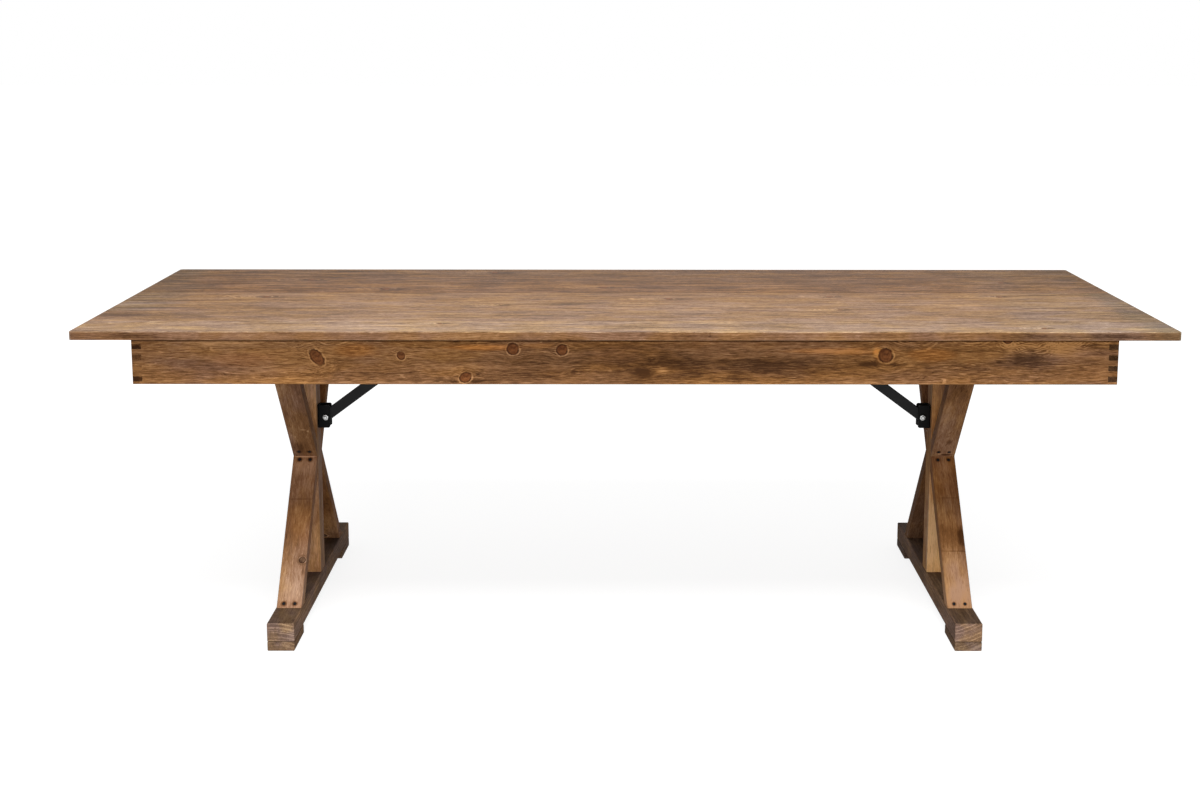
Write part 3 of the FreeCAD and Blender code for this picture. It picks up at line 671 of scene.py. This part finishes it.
# light scuffs and dark marks, and painted light on the lower arms and the posts, as (point, radii,
# amount)
PIECE_MARKS_AND_LIGHT = {
    "arm_front_upper": (
        [((-0.783, -0.116, 0.452), (0.012, 0.006, 0.0022), 0.9),
         ((-0.772, -0.112, 0.4475), (0.004, 0.006, 0.006), 0.7),
         ((-0.806, -0.095, 0.43), (0.003, 0.01, 0.01), 0.5),
         ((-0.8, -0.065, 0.39), (0.03, 0.03, 0.05), -0.3),
         ((-0.815, -0.17, 0.51), (0.01, 0.05, 0.05), -0.3)],
        [((0.7736, -0.1345, 0.4719), (0.003, 0.006, 0.003), 0.9),
         ((0.7756, -0.1139, 0.4498), (0.005, 0.006, 0.002), 0.8),
         ((0.779, -0.123, 0.459), (0.002, 0.006, 0.002), 0.8),
         ((0.801, -0.081, 0.4145), (0.012, 0.02, 0.016), -0.5),
         ((0.8, -0.042, 0.373), (0.032, 0.02, 0.0045), -1.3),
         ((0.784, -0.043, 0.3745), (0.01, 0.02, 0.004), 1.0),
         ((0.8, -0.28, 0.63), (0.05, 0.03, 0.006), -0.8),
         ((0.8, -0.205, 0.555), (0.05, 0.06, 0.045), -0.26)]),
    "arm_front_lower": (
        # the first spot on each lower arm is painted light: paler towards the foot, out of the
        # top's shade
        [((-0.793, -0.29, 0.09), (0.2, 0.1, 0.12), 0.28),
         ((-0.793, -0.0375, 0.367), (0.04, 0.01, 0.003), 1.0),
         ((-0.793, -0.08, 0.33), (0.2, 0.1, 0.09), 0.16),
         ((-0.774, -0.229, 0.158), (0.016, 0.02, 0.017), -1.0),
         ((-0.768, -0.245, 0.14), (0.008, 0.03, 0.03), -0.3),
         ((-0.793, -0.055, 0.347), (0.05, 0.04, 0.035), 0.3),
         ((-0.793, -0.118, 0.279), (0.05, 0.01, 0.0022), -0.25)],
        [((0.793, -0.29, 0.09), (0.2, 0.1, 0.13), 0.55),
         ((0.793, -0.116, 0.282), (0.05, 0.01, 0.002), -0.25),
         ((0.793, -0.213, 0.176), (0.05, 0.01, 0.0018), -0.35),
         ((0.818, -0.19, 0.207), (0.014, 0.05, 0.028), -0.8),
         ((0.793, -0.06, 0.345), (0.03, 0.03, 0.03), 0.15),
         ((0.785, -0.225, 0.16), (0.05, 0.06, 0.05), 0.34),
         ((0.793, -0.17, 0.218), (0.05, 0.04, 0.025), -0.1)]),
    # painted light: the posts are paler low down and, on the left, high up, as if lit under the
    # table
    "center_post": (
        [((-0.793, -0.031, 0.15), (0.2, 0.02, 0.25), 0.1),
         ((-0.793, -0.031, 0.62), (0.2, 0.02, 0.18), 0.36)],
        [((0.793, -0.031, 0.15), (0.2, 0.02, 0.25), 0.5)]),
}
# warmer and colder patches, and painted light on the upper posts, as (point, radii, colour factor)
PIECE_HUES_AND_LIGHT = {
    "arm_front_lower": (
        [((-0.793, -0.25, 0.125), (0.2, 0.12, 0.12), (0.97, 1.09, 1.24))],
        [((0.793, -0.25, 0.125), (0.2, 0.12, 0.12), (1.0, 1.06, 1.18)),
         ((0.793, -0.08, 0.32), (0.2, 0.1, 0.1), (1.12, 1.03, 0.86))]),
    # painted light: the upper posts are paler and cooler, as if lit under the table
    "center_post": (
        [((-0.793, -0.031, 0.64), (0.2, 0.05, 0.24), (1.08, 1.15, 1.22))],
        [((0.793, -0.031, 0.64), (0.2, 0.05, 0.24), (1.0, 1.18, 1.62))]),
}
# pieces without random knots, and the one knot seen on them, in the left lower arm
CLEAR_PIECES = ("center_post", "arm_front_upper", "arm_front_lower", *FEET)
ARM_KNOT = ((-0.773, -0.229, 0.158), (0.1, -1, 0.4), 0.0075)
FOOT_PITHS = (Vector((-0.8, 0, -0.1)), Vector((0.72, 0, 0.24)))
PAD_SEAM = ((0, 0, 1), 0.0209, 0.0231, 0.0005, (0.35, 0.33, 0.32))


def dress_trestles():
    for index, (side, _) in enumerate(SIDES):
        for name in ("center_post", *INNER, *FEET, *ARMS):
            node = side + "_" + name
            low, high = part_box(node)
            draw = random.Random(node + " wood")
            # the faces that look sideways are darker and a little bluer: painted shade
            look = dict(gap=draw.uniform(0.0024, 0.0034), end_tone=(0.6, 0.57, 0.55),
                        side=((1, 0, 0), (0.85, 0.86, 0.95), 0.0))
            along, tones, spots = Vector((0, 1, 0)), LEG_TONES, []
            pith = (low + high) / 2 + Vector((
                draw.choice((-1, 1)) * draw.uniform(0.03, 0.09), draw.uniform(-0.07, 0.07),
                draw.uniform(-0.05, 0.05)))
            knots = random_knots(draw, low, high, (1, 0.4, 0.2), draw.choice((0, 1, 2)),
                                 (0.004, 0.008))
            if name == "center_post":
                along = Vector((0, 0, 1))
                # the posts' sideways faces get painted shade with a purple-grey cast
                look["side"] = ((1, 0, 0), (0.8, 0.95, 1.25), 0.0)
            elif name in ARMS:
                run = high - low
                falls = name in ("arm_front_upper", "arm_back_lower")
                along = Vector((0, run.y - ARM_SLANT, -run.z if falls else run.z))
                # painted shade round the screws, standing in for the shade in their countersunk
                # holes
                spots = [(place, (0.009,) * 3, -1.1) for place, _ in arm_screw_places(node)]
            elif name in INNER:
                tones = INNER_TONES
            else:
                tones, pith = FOOT_TONES, FOOT_PITHS[index]
                end_tone = (1.9, 2.05, 2.25) if node == "right_foot_bar" else (1.64, 1.83, 2.1)
                look = dict(gap=0.0075, end_rings=0.38, end_tone=end_tone, joint_and_shade_bands=[PAD_SEAM],
                            side=((0, 0, 1), (0.66, 0.7, 0.75), 0.0))
            tones = tinted(tones, *PIECE_STAINS_AND_LIGHT.get(name, PLAIN)[index])
            spots += PIECE_MARKS_AND_LIGHT.get(name, NOTHING)[index]
            if name in CLEAR_PIECES:
                knots = [ARM_KNOT] if node == "left_arm_front_lower" else ()
            glows = PIECE_HUES_AND_LIGHT.get(name, NOTHING)[index]
            paint(node, wood(
                "wood_" + node, along, pith, 700 + draw.randrange(1000), tones, knots, spots,
                glows=glows, rings=0.14, cloud=1.3, streak=0.65, fibre=0.9, flecks=0.16,
                pores=0.2, shorten=1.8, roughness=0.72, gloss=0.03, heart=GREY_KNOT, **look))
    for node, seed in (("corner_blocks", 811), ("center_batten", 812)):
        paint(node, wood("wood_" + node, (0, 1, 0), (0.05, 0, 0.66), seed, INNER_TONES))


def dress_steel():
    """Paint all steel; gives the black and the zinc finish, each paired with a name."""
    black = metal("black_powder_coat", (0.0045, 0.0045, 0.005, 1.0), 0.0, 0.5, 0.25, 1400.0,
                  0.00006, srgb(70, 68, 66), 0.25, 0.15)
    deep = metal("black_bracket_coat", (0.003, 0.0029, 0.0028, 1.0), 0.0, 0.55, 0.45, 1100.0,
                 0.0001, srgb(60, 57, 54), 0.2, 0.09)
    zinc = metal("zinc_plate", (0.46, 0.465, 0.46, 1.0), 1.0, 0.4, 0.12, 900.0, 0.00003,
                 srgb(205, 205, 203), 0.4)
    for material, names in (
            (black, ("brace_channel", "brace_bar", "top_bracket")), (deep, ("leg_bracket",)),
            (zinc, ("leg_bolt", "leg_nut", "hinge_fixed_leaves", "hinge_moving_leaves",
                    "hinge_pins", "brace_rivets", "top_rivet"))):
        for name in names:
            paint("left_" + name, material)
            paint("right_" + name, material)
    return (black, "black_steel"), (zinc, "zinc_steel")


# --- small hardware
QUARTER = math.pi / 2
ARM_EDGE = math.radians(12.0)
SCREW_TURNS = [quarter * QUARTER + math.radians(part) for quarter in range(4)
               for part in (0, 12, 22.5, 45, 67.5, 78)]
EVEN_TURNS = [math.radians(15.0 * index) for index in range(24)]
THREAD_STEPS = 8                # rings to one turn of a thread


def stack(rings, turns, place, axis, spin=0.0, hollow=False):
    """Shell through rings of points about an axis: each ring is (radius, height), one value or one
    for every turn.  The two end rings are capped, or joined to each other where it is hollow."""
    axis = Vector(axis).normalized()
    first = axis.orthogonal().normalized()
    second = axis.cross(first)
    points, faces = [], []
    for radius, height in rings:
        for index, turn in enumerate(turns):
            reach = radius[index] if isinstance(radius, list) else radius
            level = height[index] if isinstance(height, list) else height
            out = first * math.cos(turn + spin) + second * math.sin(turn + spin)
            points.append(Vector(place) + out * reach + axis * level)
    count, levels = len(turns), len(rings)
    for ring in range(levels if hollow else levels - 1):
        here, there = ring * count, (ring + 1) % levels * count
        for index in range(count):
            after = (index + 1) % count
            faces.append((here + index, here + after, there + after, there + index))
    if not hollow:
        faces.append(tuple(reversed(range(count))))
        faces.append(tuple(range((levels - 1) * count, levels * count)))
    return points, faces


def add_object(name, data):
    made = bpy.data.objects.new(name, data)
    bpy.context.scene.collection.objects.link(made)
    return made


def piece(name, shells, body, finish, *stands_for):
    """Add an object made of closed shells, which rides on a body."""
    material, slot = finish
    points, faces = [], []
    for shell_points, shell_faces in shells:
        start = len(points)
        points += shell_points
        faces += [tuple(start + index for index in face) for face in shell_faces]
    mesh = bpy.data.meshes.new(name)
    mesh.from_pydata(points, [], faces)
    mesh.polygons.foreach_set("use_smooth", [True] * len(mesh.polygons))
    mesh.set_sharp_from_angle(angle=math.radians(32.0))
    mesh.materials.append(material)
    made = add_object(name, mesh)
    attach(made, body)
    if stands_for:
        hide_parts(*stands_for)


def cross_screw(place, axis, radius, proud, spin):
    """Screw head with a cross recess, its underside just inside the wood or steel."""
    length = radius * 0.62
    cross = []
    for turn in SCREW_TURNS:
        off = abs((turn + QUARTER / 2) % QUARTER - QUARTER / 2)
        on_arm = off <= ARM_EDGE + 0.001
        cross.append(length / math.cos(off) * math.cos(ARM_EDGE) if on_arm
                     else length * math.sin(ARM_EDGE) / math.sin(off))
    floor = [reach * 0.72 for reach in cross]
    rings = [(radius * 0.96, -0.0004), (radius, proud * 0.35), (radius * 0.9, proud * 0.78),
             (radius * 0.72, proud), (cross, proud), (floor, proud * 0.12)]
    return stack(rings, SCREW_TURNS, place, axis, spin)


def domed_heads(middle, reach, radius, height, root):
    """Hammered round heads on both ends of a pin that runs along y through a middle.

    root is the radius of the pin and how far it goes back from the head.
    """
    shank, depth = root
    rings = [(shank, -depth), (shank, 0.0), (radius * 0.98, 0.0), (radius, height * 0.16),
             (radius * 0.9, height * 0.52), (radius * 0.68, height * 0.82),
             (radius * 0.36, height * 0.97), (radius * 0.08, height)]
    x, y, z = middle
    return [stack(rings, EVEN_TURNS, (x, y + end * reach, z), (0, end, 0)) for end in (-1, 1)]


def hex_head(place, axis, across_flats, height, bore=0.0):
    """Hexagon with its corners turned off at 30 degrees; bore is the radius of a threaded hole."""
    sixth = math.pi / 3
    flats = [across_flats / 2 / math.cos((turn + sixth / 2) % sixth - sixth / 2)
             for turn in EVEN_TURNS]
    face = across_flats / 2 * 0.95
    fall = [height - (reach - face) * math.tan(math.radians(30.0)) for reach in flats]
    rings = [(flats, 0.0), (flats, fall), (face, height)]
    if bore:
        rings += [(bore * 1.16, height), (bore, height - bore * 0.2), (bore, 0.0)]
    else:
        rings += [(face * 0.8, height), (face * 0.74, height * 0.93)]
    return stack(rings, EVEN_TURNS, place, axis, hollow=bool(bore))


def threaded_rod(place, axis, radius, plain, threaded, pitch):
    """Rod with a plain run, then a rolled thread that ends in a chamfer."""
    depth = pitch * 0.55
    rings = [(radius, 0.0), (radius, plain)]
    count = int(threaded / pitch * THREAD_STEPS)
    for index in range(count + 1):
        run = index / THREAD_STEPS
        height = plain + run * pitch
        chamfer = radius - depth * 1.1 + (count - index) / THREAD_STEPS * pitch
        reach = []
        for turn in EVEN_TURNS:
            phase = (run - turn / (2 * math.pi)) % 1.0
            reach.append(min(radius - depth * (1.0 - abs(2.0 * phase - 1.0)), chamfer))
        rings.append((reach, height + pitch * 0.05))
    return stack(rings, EVEN_TURNS, place, axis)


# pins and pivots as (x, z), and the hinges' distance from the table's middle
HINGE_PIN, HINGE_Y = (0.7591, 0.699), 0.28
LEG_PIVOT, MIDDLE_PIVOT, TOP_PIVOT = (0.743, 0.462), (0.52427, 0.62428), (0.402, 0.715)
# where screws sit: x of the leaves and of the leg brackets, z of the top brackets
LEAF_FACE, POST_PLATE, TOP_PLATE = 0.761, 0.7605, 0.74
# z of the outer and the inner screws of a hinge leaf
LEAF_LEVELS = {"fixed": (0.7115, 0.7245), "moving": (0.6735, 0.6865)}
BOARD_PITCH = 0.14514


def add_hardware(black, zinc):
    for side, sign in SIDES:
        trestle = side + "_trestle"
        inward, down = (-sign, 0, 0), (0, 0, -1)
        screws = [cross_screw(place, normal, 0.0038, 0.001, 0.5 + index * 0.9) for arm in ARMS
                  for index, (place, normal) in enumerate(arm_screw_places(side + "_" + arm))]
        piece(side + "_arm_screws", screws, trestle, black)

        for leaf, body in (("fixed", "tabletop"), ("moving", trestle)):
            low, high = LEAF_LEVELS[leaf]
            screws = [cross_screw((sign * LEAF_FACE, middle + along, level), inward, 0.0034, 0.0006,
                                  0.2 + index * 1.1)
                      for middle in (-HINGE_Y, HINGE_Y) for index, (along, level) in enumerate(
                          ((-0.03, low), (-0.012, high), (0.012, high), (0.03, low)))]
            piece("%s_%s_leaf_screws" % (side, leaf), screws, body, zinc)
        pins = [head for middle in (-HINGE_Y, HINGE_Y)
                for head in domed_heads((sign * HINGE_PIN[0], middle, HINGE_PIN[1]), 0.038, 0.0026,
                                        0.0008, (0.0018, 0.0006))]
        piece(side + "_pin_heads", pins, "tabletop", zinc)

        screws = [cross_screw((sign * POST_PLATE, 0, level), inward, 0.004, 0.0011, 0.4 + level)
                  for level in (0.442, 0.485)]
        piece(side + "_leg_bracket_screws", screws, trestle, black)
        screws = [cross_screw((sign * (TOP_PIVOT[0] + along), across, TOP_PLATE), down, 0.0036,
                              0.0011, along * 40)
                  for along in (-0.028, 0.028) for across in (-0.015, 0.015)]
        piece(side + "_top_bracket_screws", screws, "tabletop", black)

        x, z = sign * LEG_PIVOT[0], LEG_PIVOT[1]
        nut = hex_head((x, -0.017, z), (0, -1, 0), 0.013, 0.0065, 0.004)
        piece(side + "_hex_nut", [nut], trestle, zinc, side + "_leg_nut")
        head = hex_head((x, 0.017, z), (0, 1, 0), 0.013, 0.0053)
        rod = threaded_rod((x, 0.0172, z), (0, -1, 0), 0.004, 0.0332, 0.01, 0.00125)
        piece(side + "_hex_bolt", [head, rod], trestle, zinc, side + "_leg_bolt")

        heads = domed_heads((sign * MIDDLE_PIVOT[0], 0, MIDDLE_PIVOT[1]), 0.0125, 0.007, 0.0024,
                            (0.004, 0.0091))
        piece(side + "_round_rivets", heads, side + "_long_link", zinc, side + "_brace_rivets")
        heads = domed_heads((sign * TOP_PIVOT[0], 0, TOP_PIVOT[1]), 0.0065, 0.005, 0.0018,
                            (0.003, 0.0066))
        piece(side + "_round_top_rivet", heads, "tabletop", zinc, side + "_top_rivet")

    screws = [cross_screw((along, (number - 3) * BOARD_PITCH, 0.705), down, 0.0042, 0.0012,
                          number + along * 50)
              for number in range(7) for along in (-0.018, 0.018)]
    piece("batten_screws", screws, "tabletop", zinc)
    screws = [cross_screw((x * 1.045, y * 0.4002, level), (-x, -y, 0), 0.0042, 0.0012,
                          level * 9 + x)
              for x in (-1, 1) for y in (-1, 1) for level in (0.683, 0.723)]
    piece("corner_block_screws", screws, "tabletop", zinc)


# --- camera, stage and light
PHOTO_WIDTH, PHOTO_HEIGHT = 1200.0, 800.0
FOCAL_PIXELS, AXIS_PIXEL = 1764.25, (618.26, 336.77)
SENSOR = 36.0


def add_camera():
    """Camera solved from the photo's edges and corners: place, turn, focal length and shift."""
    pitch, yaw, roll = math.radians(9.9), math.radians(-0.11), math.radians(-0.06)
    turn = (Matrix.Rotation(yaw, 3, "Z") @ Matrix.Rotation(-pitch, 3, "X")
            @ Matrix.Rotation(roll, 3, "Y"))
    data = bpy.data.cameras.new("camera")
    data.sensor_fit = "HORIZONTAL"
    data.sensor_width = SENSOR
    data.lens = FOCAL_PIXELS * SENSOR / PHOTO_WIDTH
    data.shift_x = (PHOTO_WIDTH / 2 - AXIS_PIXEL[0]) / PHOTO_WIDTH
    data.shift_y = (AXIS_PIXEL[1] - PHOTO_HEIGHT / 2) / PHOTO_WIDTH
    data.clip_end = 200.0
    camera = add_object("camera", data)
    columns = Matrix((turn.col[0], turn.col[2], -turn.col[1])).transposed()
    camera.matrix_world = Matrix.Translation((-0.02321, -4.31056, 1.41487)) @ columns.to_4x4()
    bpy.context.scene.camera = camera


def add_stage():
    """Pale floor that reads as white where nothing shades it, and a white world."""
    mesh = bpy.data.meshes.new("floor")
    far = 40.0
    mesh.from_pydata([(-far, -far, 0), (far, -far, 0), (far, far, 0), (-far, far, 0)], [],
                     [(0, 1, 2, 3)])
    floor = add_object("floor", mesh)
    material, net = bare_material("pale_floor")
    geometry = net.node("NewGeometry").outputs
    away = net.step(net.vec("LENGTH", geometry["Position"]), 1.4, 4.5)
    strength = net.times(net.seen(), net.times_plus(away, 0.16, 0.84))
    glow = net.filled("Emission", {"Strength": strength})
    diffuse = net.filled("BsdfDiffuse", {"Color": (0.34, 0.34, 0.34, 1.0)})
    added = net.filled("AddShader", {0: diffuse, 1: glow})
    # from below the floor is clear, so the underside can be looked at
    one_sided = net.filled("MixShader", {0: geometry["Backfacing"], 1: added,
                                         2: net.filled("BsdfTransparent", {})})
    net.feed(net.node("OutputMaterial").inputs["Surface"], one_sided)
    mesh.materials.append(material)

    world = bpy.data.worlds.new("studio")
    world.use_nodes = True
    bpy.context.scene.world = world
    world.node_tree.nodes.clear()
    net = Net(world.node_tree)
    strength = net.times_plus(net.seen(), 0.7, 0.3)
    background = net.filled("Background", {"Color": (1.0, 1.0, 1.0, 1.0), "Strength": strength})
    net.feed(net.node("OutputWorld").inputs["Surface"], background)


def add_lamp(name, place, aim, size, power):
    data = bpy.data.lights.new(name, "AREA")
    data.shape = "RECTANGLE"
    data.size, data.size_y = size
    data.energy = power
    lamp = add_object(name, data)
    lamp.location = place
    lamp.rotation_euler = (Vector(aim) - Vector(place)).to_track_quat("-Z", "Y").to_euler()
    lamp.visible_camera = False


dress_top()
dress_aprons()
dress_trestles()
add_hardware(*dress_steel())

add_camera()
add_stage()
add_lamp("top_soft_box", (0.0, -2.1, 3.2), (0, -0.2, 0.6), (6.0, 1.0), 120.0)
add_lamp("front_soft_box", (0.0, -5.5, 1.0), (0, 0, 0.5), (4.0, 1.9), 105.0)
add_lamp("back_soft_box", (0.0, 4.6, 2.9), (0, 0, 0.5), (4.0, 1.4), 50.0)

scene = bpy.context.scene
scene.view_settings.view_transform = "Standard"
